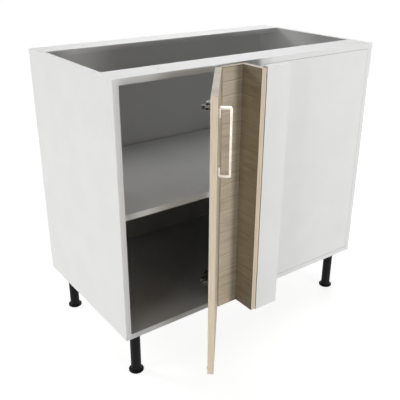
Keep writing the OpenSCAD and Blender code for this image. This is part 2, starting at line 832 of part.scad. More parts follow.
// Hinge cup: a pressed shell with a flange, its mouth at the door's inner face
module hinge_cups() {
    color(steel) in_frame() swing() at_hinges() difference() {
        union() {
            translate([cup_x, -front_gap, 0]) along_minus_y() cylinder(d = cup_d, h = cup_depth);
            translate([cup_x, -front_gap, 0]) along_y() linear_extrude(cup_flange_t) {
                circle(flange_r);
                translate([-cup_screw_offset, 0])
                    rounded_square(2 * cup_wing, cup_screw_pitch + 2 * cup_wing, wing_corner_r);
            }
        }
        translate([cup_x, -front_gap - cup_depth + cup_floor, 0]) along_y()
            cylinder(r = cup_inner_r, h = cup_depth + cup_flange_t);
        for (p = [cup_pin_near, cup_pin_far]) translate([p[0], p[1], -cup_d])
            cylinder(r = link_bore_r, h = 2 * cup_d);
        for (z = cup_screw_zs) translate([cup_screw_x, -front_gap - over, z]) along_y()
            cylinder(d = hinge_screw_d + 2 * screw_pilot, h = cup_flange_t + 2 * over);
    }
}

module hinge_cup_screws() {
    color(steel) in_frame() swing() at_hinges() for (z = cup_screw_zs)
        translate([cup_screw_x, -front_gap + cup_flange_t, z]) along_minus_y()
            screw(hinge_screw_d, cup_flange_t + cup_screw_bite);
}

module door() {
    color(wood) in_frame() swing() difference() {
        translate([door_x0, front_y0, front_z0]) front_board(door_x1 - door_x0, front_t, front_h);
        at_hinges() {
            translate([cup_x, -front_gap + over, 0]) along_minus_y()
                cylinder(r = cup_bore_r, h = cup_depth + seat + over);
            for (z = cup_screw_zs) translate([cup_screw_x, -front_gap, z]) along_minus_y()
                screw_hole(hinge_screw_d, cup_screw_bite);
        }
        handle_places() translate([0, front_y0 - over, 0]) along_y()
            cylinder(d = handle_screw_d + 2 * screw_pilot, h = front_t + 2 * over);
    }
}

module door_buffers() {
    color(felt) in_frame() swing()
        for (z = [front_z0 + buffer_inset, front_z0 + front_h - buffer_inset])
            translate([board_t / 2 + door_x0, -front_gap, z]) along_y()
                cylinder(d1 = buffer_d, d2 = buffer_d - buffer_t, h = buffer_t);
}

module handle_places() {
    for (s = [-1, 1]) translate([door_x0 + handle_inset, 0, handle_z + s * handle_pitch / 2]) children();
}

// The handle's outline from the side: [stand-off, height]
module handle_outline() {
    difference() {
        translate([handle_reach / 2, 0]) rounded_square(handle_reach, handle_len, handle_bend_r);
        translate([handle_reach / 2, 0])
            rounded_square(handle_reach - 2 * handle_t, handle_len - 2 * handle_t, handle_bend_r / 2);
        translate([-over, -handle_len / 2 + handle_foot])
            square([handle_t + 2 * over, handle_len - 2 * handle_foot]);
    }
}

module handle() {
    color(bright) in_frame() swing() difference() {
        translate([door_x0 + handle_inset + handle_w / 2, front_y0, handle_z]) rotate([90, 0, -90])
            linear_extrude(handle_w) handle_outline();
        handle_places() translate([0, front_y0 + over, 0]) along_minus_y()
            cylinder(d = handle_screw_d + 2 * fit, h = over + handle_thread + screw_tip_gap);
    }
}

module handle_screws() {
    color(steel) in_frame() swing() handle_places() translate([0, -front_gap, 0]) along_minus_y()
        screw(handle_screw_d, front_t + handle_thread);
}

// The four screw spots of a leg, round its middle
module leg_screw_spots() {
    for (x = [-1, 1], y = [-1, 1]) translate([x, y, 0] * leg_screw_pitch / 2) children();
}

module at_legs() {
    for (x = leg_xs, y = leg_ys) translate([x, y, 0]) children();
}

// Leg socket: a screwed plate and a ribbed sleeve that grips the tube
module leg_sockets() {
    color(black) in_frame() at_legs() difference() {
        union() {
            translate([0, 0, -socket_t]) linear_extrude(socket_t)
                rounded_square(socket_plate, socket_plate, socket_corner_r);
            translate([0, 0, -socket_h]) cylinder(r = sleeve_r, h = socket_h);
            for (a = [0 : 90 : 270]) rotate(a) translate([0, socket_rib_t / 2, -socket_t]) along_minus_y()
                linear_extrude(socket_rib_t) polygon([[sleeve_r - socket_rib_sink, 0],
                    [socket_plate / 2 - socket_rib_inset, 0],
                    [sleeve_r, socket_rib_end - socket_h],
                    [sleeve_r - socket_rib_sink, socket_rib_end - socket_h]]);
        }
        translate([0, 0, -socket_h - over])
            cylinder(d = tube_d + 2 * seat, h = socket_h - socket_t + over);
        leg_screw_spots() translate([0, 0, -socket_t - over])
            cylinder(d = leg_screw_d + 2 * screw_pilot, h = socket_t + 2 * over);
    }
}

module leg_screws() {
    color(steel) in_frame() at_legs() leg_screw_spots() translate([0, 0, -socket_t])
        screw(leg_screw_d, socket_t + leg_screw_bite);
}

module leg_tubes() {
    color(black) in_frame() at_legs() difference() {
        union() {
            translate([0, 0, -leg_h + foot_h])
                cylinder(d1 = tube_d - 2 * tube_chamfer, d2 = tube_d, h = tube_chamfer);
            translate([0, 0, -leg_h + foot_h + tube_chamfer])
                cylinder(d = tube_d, h = leg_h - foot_h - tube_chamfer - socket_t);
        }
        translate([0, 0, -leg_h + foot_h - over])
            cylinder(d = stem_d + 2 * fit, h = over + stem_len + stem_gap);
    }
}

// Foot: a round pad with a coned hub, on a threaded stem
module foot(x, y) {
    color(black) in_frame() translate([x, y, -leg_h]) rotate_extrude() polygon([
        [0, 0], [foot_d / 2 - foot_edge, 0], [foot_d / 2, foot_edge], [foot_d / 2, foot_pad_h],
        [foot_d / 2 - foot_rim, foot_pad_h + foot_edge],
        [tube_d / 2 + foot_lip, foot_pad_h + 2 * foot_edge],
        [tube_d / 2, foot_h - foot_lip], [tube_d / 2 - foot_lip, foot_h], [stem_d / 2, foot_h],
        [stem_d / 2, foot_h + stem_len], [0, foot_h + stem_len]]);
}

module foot_front_left() { foot(leg_xs[0], leg_ys[0]); }
module foot_front_right() { foot(leg_xs[1], leg_ys[0]); }
module foot_back_left() { foot(leg_xs[0], leg_ys[1]); }
module foot_back_right() { foot(leg_xs[1], leg_ys[1]); }

side_panel_left();
side_panel_right();
bottom_panel();
front_rail();
back_rail();
back_sheet();
fixed_front_panel();
shelf();
shelf_pins();
wood_dowels();
cam_locks();
cam_bolts();
corner_filler();
corner_return();
corner_post_board();
filler_spacers();
filler_screws();
return_screws();
corner_brackets();
bracket_screws();
hinge_plates();
hinge_plate_screws();
hinge_arms();
hinge_arm_screws();
hinge_arm_pins();
hinge_main_links();
hinge_arm_struts();
hinge_cross_links();
hinge_cup_struts();
hinge_cup_pins();
hinge_cups();
hinge_cup_screws();
door();
door_buffers();
handle();
handle_screws();
leg_sockets();
leg_screws();
leg_tubes();
foot_front_left();
foot_front_right();
foot_back_left();
foot_back_right();
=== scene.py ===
"""A blind-corner kitchen base cabinet with its door open, dressed for a plain studio.

The frame gives every part its place and size. This script gives each part its
finish, makes the nails and the small fastenings that the frame leaves plain, and
sets the floor, the lamps and the camera.
"""

import json
import logging
import math
from dataclasses import dataclass
from enum import Enum

import bmesh
import bpy
import numpy as np
from mathutils import Matrix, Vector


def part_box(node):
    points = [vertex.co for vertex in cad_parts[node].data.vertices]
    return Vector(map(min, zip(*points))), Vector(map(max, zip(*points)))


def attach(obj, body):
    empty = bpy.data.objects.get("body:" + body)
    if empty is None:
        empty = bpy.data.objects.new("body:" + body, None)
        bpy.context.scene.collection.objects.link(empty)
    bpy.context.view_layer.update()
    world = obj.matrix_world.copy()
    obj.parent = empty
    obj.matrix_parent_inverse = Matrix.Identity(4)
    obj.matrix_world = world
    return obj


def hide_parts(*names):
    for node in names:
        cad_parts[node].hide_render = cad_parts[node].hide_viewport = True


log = logging.getLogger("cabinet")

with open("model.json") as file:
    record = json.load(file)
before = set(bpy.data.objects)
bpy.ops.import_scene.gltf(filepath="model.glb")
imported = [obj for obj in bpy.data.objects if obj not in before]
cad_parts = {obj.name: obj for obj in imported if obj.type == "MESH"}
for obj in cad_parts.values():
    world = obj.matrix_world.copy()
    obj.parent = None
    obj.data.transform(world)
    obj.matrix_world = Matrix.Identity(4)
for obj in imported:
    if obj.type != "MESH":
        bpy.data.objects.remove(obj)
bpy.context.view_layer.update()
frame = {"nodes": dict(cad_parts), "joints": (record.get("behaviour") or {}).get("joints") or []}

MM = 0.001

# The mix node has one pair of sockets for numbers, and behind it one for colours
MIX_NUMBER_A = 2
MIX_NUMBER_B = 3
MIX_COLOUR_A = 6
MIX_COLOUR_B = 7
MIX_COLOUR_OUT = 2

# Noise keeps to its middle, so two tones that follow it meet between these values
NOISE_LOW = 0.35
NOISE_HIGH = 0.65

# An edge that turns by more than this is a corner
CORNER_ANGLE = math.radians(35)

# A length in metres that counts as none
NO_LENGTH = 1e-9


def linear(hex_colour: str, alpha: float = 1.0) -> tuple[float, float, float, float]:
    """Turns an sRGB hex colour to linear light.

    The standard's curve is straight near black and a power of 2.4 above it.

    Args:
        hex_colour: the colour as #RRGGBB.
        alpha: the fourth number that a colour socket takes.

    Returns:
        Linear red, green and blue, then alpha.
    """
    parts = [int(hex_colour[i:i + 2], 16) / 255 for i in (1, 3, 5)]
    red, green, blue = (
        c / 12.92 if c <= 0.04045 else ((c + 0.055) / 1.055) ** 2.4 for c in parts
    )
    return red, green, blue, alpha


def add_node(
    tree: bpy.types.NodeTree,
    kind: str,
    settings: dict | None = None,
    links: dict | None = None,
    stops: list[tuple[float, str]] | None = None,
) -> bpy.types.Node:
    """Adds one node with its settings and links.

    Args:
        tree: the material's or world's node tree.
        kind: the node type's name.
        settings: values by name or number of input, or else by property name.
        links: output sockets by name or number of the input they feed.
        stops: a colour ramp's places and hex colours, where the node has a ramp.

    Returns:
        The new node.
    """
    node = tree.nodes.new(kind)
    for name, value in (settings or {}).items():
        if isinstance(name, int) or name in node.inputs:
            node.inputs[name].default_value = value
        else:
            setattr(node, name, value)
    for name, output in (links or {}).items():
        tree.links.new(output, node.inputs[name])
    if stops:
        elements = node.color_ramp.elements
        while len(elements) < len(stops):
            elements.new(1.0)
        for element, (place, colour) in zip(elements, stops):
            element.position = place
            element.color = linear(colour)
    return node


def new_material(name: str, settings: dict) -> tuple[bpy.types.Material, bpy.types.Node]:
    """Makes a material with one principled shader.

    Args:
        name: the material's name.
        settings: values for the shader's sockets.

    Returns:
        The material, and its shader node.
    """
    material = bpy.data.materials.new(name)
    material.use_nodes = True
    shader = material.node_tree.nodes["Principled BSDF"]
    for socket, value in settings.items():
        shader.inputs[socket].default_value = value
    return material, shader


def placed(
    tree: bpy.types.NodeTree, size_mm: float | tuple[float, float, float]
) -> bpy.types.NodeSocket:
    """Gives the object's own coordinates, counted in units of a real size.

    Args:
        tree: the node tree.
        size_mm: the unit's size, one for all or one each along x, y and z.

    Returns:
        The vector output that a texture reads.
    """
    source = add_node(tree, "ShaderNodeTexCoord")
    per_metre = 1 / (np.broadcast_to(size_mm, 3) * MM)
    mapping = add_node(
        tree,
        "ShaderNodeMapping",
        {"Scale": per_metre.tolist()},
        {"Vector": source.outputs["Object"]},
    )
    return mapping.outputs["Vector"]


def grain(
    tree: bpy.types.NodeTree,
    size_mm: float | tuple[float, float, float],
    detail: float,
    roughness: float = 0.5,
) -> bpy.types.NodeSocket:
    """Gives a cloud of noise whose grains have a real size.

    Args:
        tree: the node tree.
        size_mm: a grain's usual width, one for all or one each along x, y and z.
        detail: how many finer layers it holds.
        roughness: how strong each finer layer is beside the one before it.

    Returns:
        The noise's value, about 0.5 in the mean.
    """
    noise = add_node(
        tree,
        "ShaderNodeTexNoise",
        {"Scale": 1.0, "Detail": detail, "Roughness": roughness},
        {"Vector": placed(tree, size_mm)},
    )
    return noise.outputs["Fac"]


def lay_finish(
    shader: bpy.types.Node,
    colour: bpy.types.NodeSocket,
    height: bpy.types.NodeSocket,
    depth_mm: float,
    slope: float = 1.0,
) -> None:
    """Gives the shader its colour, and raises its surface by a height pattern.

    Args:
        shader: the principled shader.
        colour: the colour pattern.
        height: the height pattern, from 0 to 1.
        depth_mm: how far 1 stands above 0.
        slope: how much of the pattern's slope shows, from 0 to 1.
    """
    tree = shader.id_data
    raised = add_node(
        tree, "ShaderNodeBump", {"Distance": depth_mm * MM, "Strength": slope}, {"Height": height}
    )
    tree.links.new(colour, shader.inputs["Base Color"])
    tree.links.new(raised.outputs["Normal"], shader.inputs["Normal"])


@dataclass(frozen=True)
class Melamine:
    """White melamine-faced chipboard: paper soaked in resin, pressed on a pearled plate.

    The eye sees a clean white with a soft, broken sheen. The front edge carries a
    plastic band, which shows as a hairline where it meets the face.
    """

    name: str = "melamine_white"
    face: str = "#E9E9E8"
    cloud: str = "#E6E6E5"
    seam: str = "#BDBDB9"
    cloud_mm: float = 90.0
    cloud_detail: float = 4.0
    # Real pearl is about 0.7 mm. It is drawn at twice that, so that it shows
    pearl_mm: float = 1.4
    pearl_detail: float = 1.0
    pearl_depth_mm: float = 0.015
    roughness: float = 0.42
    band_mm: float = 0.8
    seam_mm: float = 0.25

    def material(self, front_y: float | None = None) -> bpy.types.Material:
        """Builds the finish.

        Args:
            front_y: where the board's banded front edge lies, if it has one.

        Returns:
            The material.
        """
        material, shader = new_material(self.name, {"Roughness": self.roughness})
        tree = material.node_tree
        colour = add_node(
            tree,
            "ShaderNodeValToRGB",
            None,
            {"Fac": grain(tree, self.cloud_mm, self.cloud_detail)},
            [(NOISE_LOW, self.cloud), (NOISE_HIGH, self.face)],
        ).outputs["Color"]
        if front_y is not None:
            colour = self.seamed(tree, colour, front_y)
        pearl = grain(tree, self.pearl_mm, self.pearl_detail)
        lay_finish(shader, colour, pearl, self.pearl_depth_mm)
        return material

    def seamed(
        self, tree: bpy.types.NodeTree, colour: bpy.types.NodeSocket, front_y: float
    ) -> bpy.types.NodeSocket:
        """Draws the hairline between the edge band and the face.

        Args:
            tree: the node tree.
            colour: the face's colour.
            front_y: where the banded edge lies.

        Returns:
            The colour with the hairline in it.
        """
        source = add_node(tree, "ShaderNodeTexCoord")
        place = add_node(tree, "ShaderNodeSeparateXYZ", None, {0: source.outputs["Object"]})
        seam_y = front_y + (self.band_mm + self.seam_mm / 2) * MM
        near = add_node(
            tree,
            "ShaderNodeMath",
            {"operation": "COMPARE", 1: seam_y, 2: self.seam_mm / 2 * MM},
            {0: place.outputs["Y"]},
        )
        mixed = add_node(
            tree,
            "ShaderNodeMix",
            {"data_type": "RGBA", MIX_COLOUR_B: linear(self.seam)},
            {0: near.outputs[0], MIX_COLOUR_A: colour},
        )
        return mixed.outputs[MIX_COLOUR_OUT]


class GrainRun(Enum):
    """Which way the fibres of the oak print run."""

    LEVEL = "level"
    UPRIGHT = "upright"


@dataclass(frozen=True)
class OakDecor:
    """Light oak print on melamine, with the grain laid level and banded edges.

    The eye sees faint level growth lines about two fingers apart, wavy, uneven and
    broken, over streaks of two near tones, with fine fibres between them. The edges
    carry a paler plastic band, which is printed with streaks along its own length.
    """

    name: str = "oak_decor"
    body: str = "#C2B6A1"
    deep: str = "#AC9F89"
    dark_line: str = "#83755E"
    pale_line: str = "#D0C5B1"
    band: str = "#E1D2BC"
    seam: str = "#84765F"
    # The fibres tint what lies under them, from the dark to the pale one
    fibre_dark: str = "#E4E0DA"
    fibre_pale: str = "#FFFFFF"
    fibre_low: float = 0.3
    fibre_high: float = 0.62
    ring_mm: float = 36.0
    # The band texture's saw wave repeats every 2 pi / 20 units
    wave_period: float = math.tau / 20
    ring_stretch: float = 3.4
    ring_waviness: float = 6.5
    ring_detail: float = 4.0
    ring_detail_scale: float = 0.9
    ring_detail_roughness: float = 0.5
    # Places in one ring, from 0 to 1, where its dark and its pale line lie and end
    dark_at: float = 0.03
    dark_end: float = 0.1
    pale_start: float = 0.9
    pale_at: float = 0.96
    # Slow noise between the first two values lets this least and most of a line show
    fade_mm: float = 55.0
    fade_detail: float = 1.0
    fade_low: float = 0.38
    fade_high: float = 0.62
    line_least: float = 0.06
    line_most: float = 0.62
    cloud_mm: float = 12.0
    cloud_stretch: float = 9.0
    cloud_detail: float = 4.0
    fibre_mm: float = 1.1
    fibre_length_mm: float = 70.0
    fibre_detail: float = 3.0
    fibre_roughness: float = 0.6
    pore_depth_mm: float = 0.03
    pore_slope: float = 0.6
    band_mm: float = 0.8
    # The real glue line is about 0.2 mm. It is drawn wider, so that it shows
    seam_mm: float = 1.4
    roughness: float = 0.5
    gloss: float = 0.25

    def material(self, node: str, turn: float) -> bpy.types.Material:
        """Builds the finish for one front.

        Args:
            node: the front's name in the frame.
            turn: how far the front is turned about z from facing -y, in radians.

        Returns:
            The material.
        """
        settings = {"Roughness": self.roughness, "Specular IOR Level": self.gloss}
        material, shader = new_material(self.name + "_" + node, settings)
        tree = material.node_tree
        upright, edge = self.edges(tree, node, turn, self.band_mm)
        _, rim = self.edges(tree, node, turn, self.band_mm + self.seam_mm)
        fibre = add_node(
            tree,
            "ShaderNodeMix",
            {"data_type": "FLOAT"},
            {
                0: upright,
                MIX_NUMBER_A: self.fibres(tree, GrainRun.LEVEL),
                MIX_NUMBER_B: self.fibres(tree, GrainRun.UPRIGHT),
            },
        ).outputs[0]
        tones = [(self.fibre_low, self.fibre_dark), (self.fibre_high, self.fibre_pale)]
        tint = add_node(tree, "ShaderNodeValToRGB", None, {"Fac": fibre}, tones)
        colour = self.rings(tree)
        for strip, tone in ((rim, self.seam), (edge, self.band)):
            colour = add_node(
                tree,
                "ShaderNodeMix",
                {"data_type": "RGBA", MIX_COLOUR_B: linear(tone)},
                {0: strip, MIX_COLOUR_A: colour},
            ).outputs[MIX_COLOUR_OUT]
        printed = add_node(
            tree,
            "ShaderNodeMix",
            {"data_type": "RGBA", "blend_type": "MULTIPLY", 0: 1.0},
            {MIX_COLOUR_A: colour, MIX_COLOUR_B: tint.outputs["Color"]},
        )
        lay_finish(
            shader, printed.outputs[MIX_COLOUR_OUT], fibre, self.pore_depth_mm, self.pore_slope
        )
        return material

    def edges(
        self, tree: bpy.types.NodeTree, node: str, turn: float, width_mm: float
    ) -> tuple[bpy.types.NodeSocket, bpy.types.NodeSocket]:
        """Tells the banded edges from the faces.

        The front is turned back to face -y. What then lies within the given width
        of its outline in x or z is an edge.

        Args:
            tree: the node tree.
            node: the front's name.
            turn: how far it is turned about z, in radians.
            width_mm: how wide the strip along the outline is.

        Returns:
            Two values that are 1 on the upright edges and on all edges.
        """
        points = node_points(node) @ np.array(Matrix.Rotation(turn, 3, "Z"))
        low, high = points.min(axis=0), points.max(axis=0)
        source = add_node(tree, "ShaderNodeTexCoord")
        turned = add_node(
            tree,
            "ShaderNodeMapping",
            {"Rotation": (0, 0, -turn)},
            {"Vector": source.outputs["Object"]},
        )
        place = add_node(tree, "ShaderNodeSeparateXYZ", None, {0: turned.outputs["Vector"]})
        rims = []
        for k in (0, 2):
            middle = float(low[k] + high[k]) / 2
            reach = float(high[k] - low[k]) / 2 - width_mm * MM
            inside = add_node(
                tree,
                "ShaderNodeMath",
                {"operation": "COMPARE", 1: middle, 2: reach},
                {0: place.outputs[k]},
            )
            rim = add_node(
                tree, "ShaderNodeMath", {"operation": "SUBTRACT", 0: 1.0}, {1: inside.outputs[0]}
            )
            rims.append(rim.outputs[0])
        every = add_node(tree, "ShaderNodeMath", {"operation": "MAXIMUM"}, {0: rims[0], 1: rims[1]})
        return rims[0], every.outputs[0]

    def rings(self, tree: bpy.types.NodeTree) -> bpy.types.NodeSocket:
        """Gives the print of the faces: a clouded body with broken growth lines.

        A saw wave runs up the front, bent by noise. Each rise from 0 to 1 is one
        ring, with a dark line at its start and a pale one at its end. Slow noise
        sets how much of the lines shows over the body.

        Args:
            tree: the node tree.

        Returns:
            The print's colour.
        """
        ring = self.ring_mm / self.wave_period
        long_ring = ring * self.ring_stretch
        wave = add_node(
            tree,
            "ShaderNodeTexWave",
            {
                "wave_type": "BANDS",
                "bands_direction": "Z",
                "wave_profile": "SAW",
                "Scale": 1.0,
                "Distortion": self.ring_waviness,
                "Detail": self.ring_detail,
                "Detail Scale": self.ring_detail_scale,
                "Detail Roughness": self.ring_detail_roughness,
            },
            {"Vector": placed(tree, (long_ring, long_ring, ring))},
        )
        lines = add_node(
            tree,
            "ShaderNodeValToRGB",
            None,
            {"Fac": wave.outputs["Fac"]},
            [
                (0.0, self.body),
                (self.dark_at, self.dark_line),
                (self.dark_end, self.body),
                (self.pale_start, self.body),
                (self.pale_at, self.pale_line),
            ],
        )
        long_cloud = self.cloud_mm * self.cloud_stretch
        body = add_node(
            tree,
            "ShaderNodeValToRGB",
            None,
            {"Fac": grain(tree, (long_cloud, long_cloud, self.cloud_mm), self.cloud_detail)},
            [(NOISE_LOW, self.deep), (NOISE_HIGH, self.body)],
        )
        fade = add_node(
            tree,
            "ShaderNodeMapRange",
            {
                "From Min": self.fade_low,
                "From Max": self.fade_high,
                "To Min": self.line_least,
                "To Max": self.line_most,
            },
            {"Value": grain(tree, self.fade_mm, self.fade_detail)},
        )
        mixed = add_node(
            tree,
            "ShaderNodeMix",
            {"data_type": "RGBA"},
            {
                0: fade.outputs["Result"],
                MIX_COLOUR_A: body.outputs["Color"],
                MIX_COLOUR_B: lines.outputs["Color"],
            },
        )
        return mixed.outputs[MIX_COLOUR_OUT]

    def fibres(self, tree: bpy.types.NodeTree, run: GrainRun) -> bpy.types.NodeSocket:
        """Gives noise drawn out along the fibres.

        Args:
            tree: the node tree.
            run: which way the fibres run.

        Returns:
            The noise's value.
        """
        thick, long = self.fibre_mm, self.fibre_length_mm
        size_mm = (thick, thick, long) if run is GrainRun.UPRIGHT else (long, long, thick)
        return grain(tree, size_mm, self.fibre_detail, self.fibre_roughness)


@dataclass(frozen=True)
class Hardboard:
    """Thin hard fibreboard: lacquered white inside, raw brown behind.

    The eye sees a flat white inside, and outside a brown felt of fibres, speckled
    and faintly clouded.
    """

    name: str = "hardboard_sheet"
    lacquer: str = "#E2E2E0"
    raw: str = "#A5835C"
    raw_dark: str = "#8B6B48"
    fibre_mm: float = 2.2
    fibre_depth_mm: float = 0.03
    fibre_slope: float = 0.5
    cloud_mm: float = 90.0
    cloud_share: float = 0.25
    detail: float = 5.0
    roughness: float = 0.55
    skin_mm: float = 0.4

    def material(self, outer_y: float) -> bpy.types.Material:
        """Builds the finish.

        Args:
            outer_y: where the raw outer face lies.

        Returns:
            The material.
        """
        material, shader = new_material(self.name, {"Roughness": self.roughness})
        tree = material.node_tree
        fibre = grain(tree, self.fibre_mm, self.detail)
        mottle = add_node(
            tree,
            "ShaderNodeMix",
            {"data_type": "FLOAT", 0: self.cloud_share},
            {MIX_NUMBER_A: fibre, MIX_NUMBER_B: grain(tree, self.cloud_mm, self.detail)},
        )
        tones = [(NOISE_LOW, self.raw_dark), (NOISE_HIGH, self.raw)]
        raw = add_node(tree, "ShaderNodeValToRGB", None, {"Fac": mottle.outputs[0]}, tones)
        source = add_node(tree, "ShaderNodeTexCoord")
        place = add_node(tree, "ShaderNodeSeparateXYZ", None, {0: source.outputs["Object"]})
        outside = add_node(
            tree,
            "ShaderNodeMath",
            {"operation": "GREATER_THAN", 1: outer_y - self.skin_mm * MM},
            {0: place.outputs["Y"]},
        )
        mixed = add_node(
            tree,
            "ShaderNodeMix",
            {"data_type": "RGBA", MIX_COLOUR_A: linear(self.lacquer)},
            {0: outside.outputs[0], MIX_COLOUR_B: raw.outputs["Color"]},
        )
        lay_finish(
            shader, mixed.outputs[MIX_COLOUR_OUT], fibre, self.fibre_depth_mm, self.fibre_slope
        )
        return material


@dataclass(frozen=True)
class Spangle:
    """Hot-dip galvanised steel: zinc frozen in flat crystals.

    The eye sees grey patches of a few millimetres, each with a tone of its own.
    """

    name: str = "galvanised_steel"
    light: str = "#C6CACC"
    dark: str = "#9EA4A8"
    # Crystals get a number from 0 to 1 each, and those past these have the full tones
    dark_end: float = 0.2
    light_start: float = 0.8
    crystal_mm: float = 5.0
    roughness: float = 0.36

    def material(self) -> bpy.types.Material:
        """Builds the finish.

        Returns:
            The material.
        """
        settings = {"Metallic": 1.0, "Roughness": self.roughness}
        material, shader = new_material(self.name, settings)
        tree = material.node_tree
        cells = add_node(
            tree, "ShaderNodeTexVoronoi", {"Scale": 1.0}, {"Vector": placed(tree, self.crystal_mm)}
        )
        tones = [(self.dark_end, self.dark), (self.light_start, self.light)]
        colour = add_node(tree, "ShaderNodeValToRGB", None, {"Fac": cells.outputs["Color"]}, tones)
        tree.links.new(colour.outputs["Color"], shader.inputs["Base Color"])
        return material


@dataclass(frozen=True)
class Grained:
    """A finish of two near tones, whose sheen and relief follow the same fine grain."""

    name: str
    pale: str
    deep: str
    roughness: float
    grain_mm: float
    depth_mm: float
    metallic: float = 0.0
    gloss: float = 0.5
    # How far the roughness swings either way with the grain
    spread: float = 0.0
    detail: float = 2.0
    slope: float = 0.5
    # The two tones meet between these values of the grain
    low: float = 0.3
    high: float = 0.7

    def material(self) -> bpy.types.Material:
        """Builds the finish.

        Returns:
            The material.
        """
        settings = {
            "Metallic": self.metallic, "Roughness": self.roughness, "Specular IOR Level": self.gloss
        }
        material, shader = new_material(self.name, settings)
        tree = material.node_tree
        pattern = grain(tree, self.grain_mm, self.detail)
        tones = [(self.low, self.deep), (self.high, self.pale)]
        colour = add_node(tree, "ShaderNodeValToRGB", None, {"Fac": pattern}, tones)
        if self.spread:
            ends = {"To Min": self.roughness - self.spread, "To Max": self.roughness + self.spread}
            sheen = add_node(tree, "ShaderNodeMapRange", ends, {"Value": pattern})
            tree.links.new(sheen.outputs["Result"], shader.inputs["Roughness"])
        lay_finish(shader, colour.outputs["Color"], pattern, self.depth_mm, self.slope)
        return material


@dataclass(frozen=True)
class PlatedMetal(Grained):
    """A plated or drawn metal, bright or dull.

    The eye sees its plating's tint and a sheen that fine scratches or grains break up.
    """

    depth_mm: float = 0.01
    metallic: float = 1.0
    spread: float = 0.08
    detail: float = 3.0
    slope: float = 0.3
    low: float = NOISE_LOW
    high: float = NOISE_HIGH


@dataclass(frozen=True)
class Moulded(Grained):
    """A moulded, felted or turned part with a fine even texture.

    The eye sees one tone with a low, scattered sheen.
    """


# Nickel on pressed steel: dull and grey, and painted darker than real nickel as painted shade for the
# hinges in the dark inside
NICKEL_DARKENED_AS_SHADE = PlatedMetal("nickel_darkened_as_shade", "#6A6865", "#53514E", roughness=0.52, grain_mm=14.0)
# Zinc on turned steel: pale and cold, with a fairly clear sheen
ZINC = PlatedMetal("zinc_plated_screws", "#CBCED0", "#A9ADB0", roughness=0.32, grain_mm=3.0)
# Satin nickel on a drawn bar: warm and light, with a soft sheen
SATIN = PlatedMetal("satin_nickel_bar", "#DDD6CC", "#CFC8BD", roughness=0.34, grain_mm=9.0)
# Moulded polypropylene: near black, finely grained, with little sheen
BLACK_PLASTIC = Moulded(
    "moulded_polypropylene", "#131314", "#0D0D0E", roughness=0.5, grain_mm=0.9, depth_mm=0.03, gloss=0.1
)
# Pressed felt: pale, fuzzy and without sheen
SOFT_PAD = Moulded(
    "pressed_felt_pads", "#DCDCD8", "#C3C2BC", roughness=0.85, grain_mm=0.8, depth_mm=0.12
)
# Turned beech: warm, with small flecks
BEECH = Moulded("turned_beech", "#D9BC8E", "#C4A474", roughness=0.6, grain_mm=2.5, depth_mm=0.05)


def node_points(node: str) -> np.ndarray:
    """Reads the points of a node of the frame.

    Args:
        node: the node's name.

    Returns:
        The points in metres, n by 3.
    """
    mesh = frame["nodes"][node].data
    flat = np.empty(len(mesh.vertices) * 3, np.float32)
    mesh.vertices.foreach_get("co", flat)
    return flat.reshape(-1, 3)


def paint(piece: bpy.types.Object, material: bpy.types.Material) -> None:
    """Puts one material on all of a piece."""
    piece.data.materials.clear()
    piece.data.materials.append(material)


def paint_nodes(names: tuple[str, ...], material: bpy.types.Material) -> None:
    """Puts one material on several nodes of the frame, and reports each.

    Args:
        names: the nodes' names.
        material: the material that they share.
    """
    for name in names:
        paint(frame["nodes"][name], material)
        log.info("%s: %s", name, material.name)


def new_object(name: str, data: bpy.types.ID) -> bpy.types.Object:
    """Makes an object at the origin and puts it in the scene.

    Args:
        name: the object's name.
        data: its mesh, lamp or camera.

    Returns:
        The new object.
    """
    made = bpy.data.objects.new(name, data)
    bpy.context.scene.collection.objects.link(made)
    return made


def mesh_piece(
    name: str, points: np.ndarray, faces: np.ndarray, smooth: bool = True
) -> bpy.types.Object:
    """Makes an object at the origin from points and faces.

    Args:
        name: the piece's name.
        points: an array of points in metres, n by 3.
        faces: an array of corner numbers, m by 4, where a triangle repeats its
            last corner.
        smooth: whether the faces are shaded smooth.

    Returns:
        The new object.
    """
    mesh = bpy.data.meshes.new(name)
    mesh.from_pydata(points.tolist(), [], [list(dict.fromkeys(f)) for f in faces.tolist()])
    mesh.validate()
    mesh.polygons.foreach_set("use_smooth", np.full(len(mesh.polygons), smooth))
    if smooth:
        mesh.set_sharp_from_angle(angle=CORNER_ANGLE)
    return new_object(name, mesh)


def revolve_faces(rings: int, turns: int) -> np.ndarray:
    """Numbers the faces of a closed surface of rings, with a pole at each end.

    Points are counted ring by ring. Ring k holds points k * turns to
    k * turns + turns - 1, and the two poles come last.

    Args:
        rings: how many rings of points there are.
        turns: how many points a ring has.

    Returns:
        Corner numbers, four to a face.
    """
    ring, step = np.meshgrid(np.arange(rings - 1), np.arange(turns), indexing="ij")
    after = (step + 1) % turns
    start = ring * turns
    below = start + turns
    sides = np.stack([start + step, start + after, below + after, below + step], axis=-1)
    here = np.arange(turns)
    there = (here + 1) % turns
    first = np.full(turns, rings * turns)
    last = first + 1
    lowest = (rings - 1) * turns
    top = np.stack([first, there, here, here], axis=-1)
    bottom = np.stack([last, lowest + here, lowest + there, lowest + there], axis=-1)
    return np.concatenate([sides.reshape(-1, 4), top, bottom])


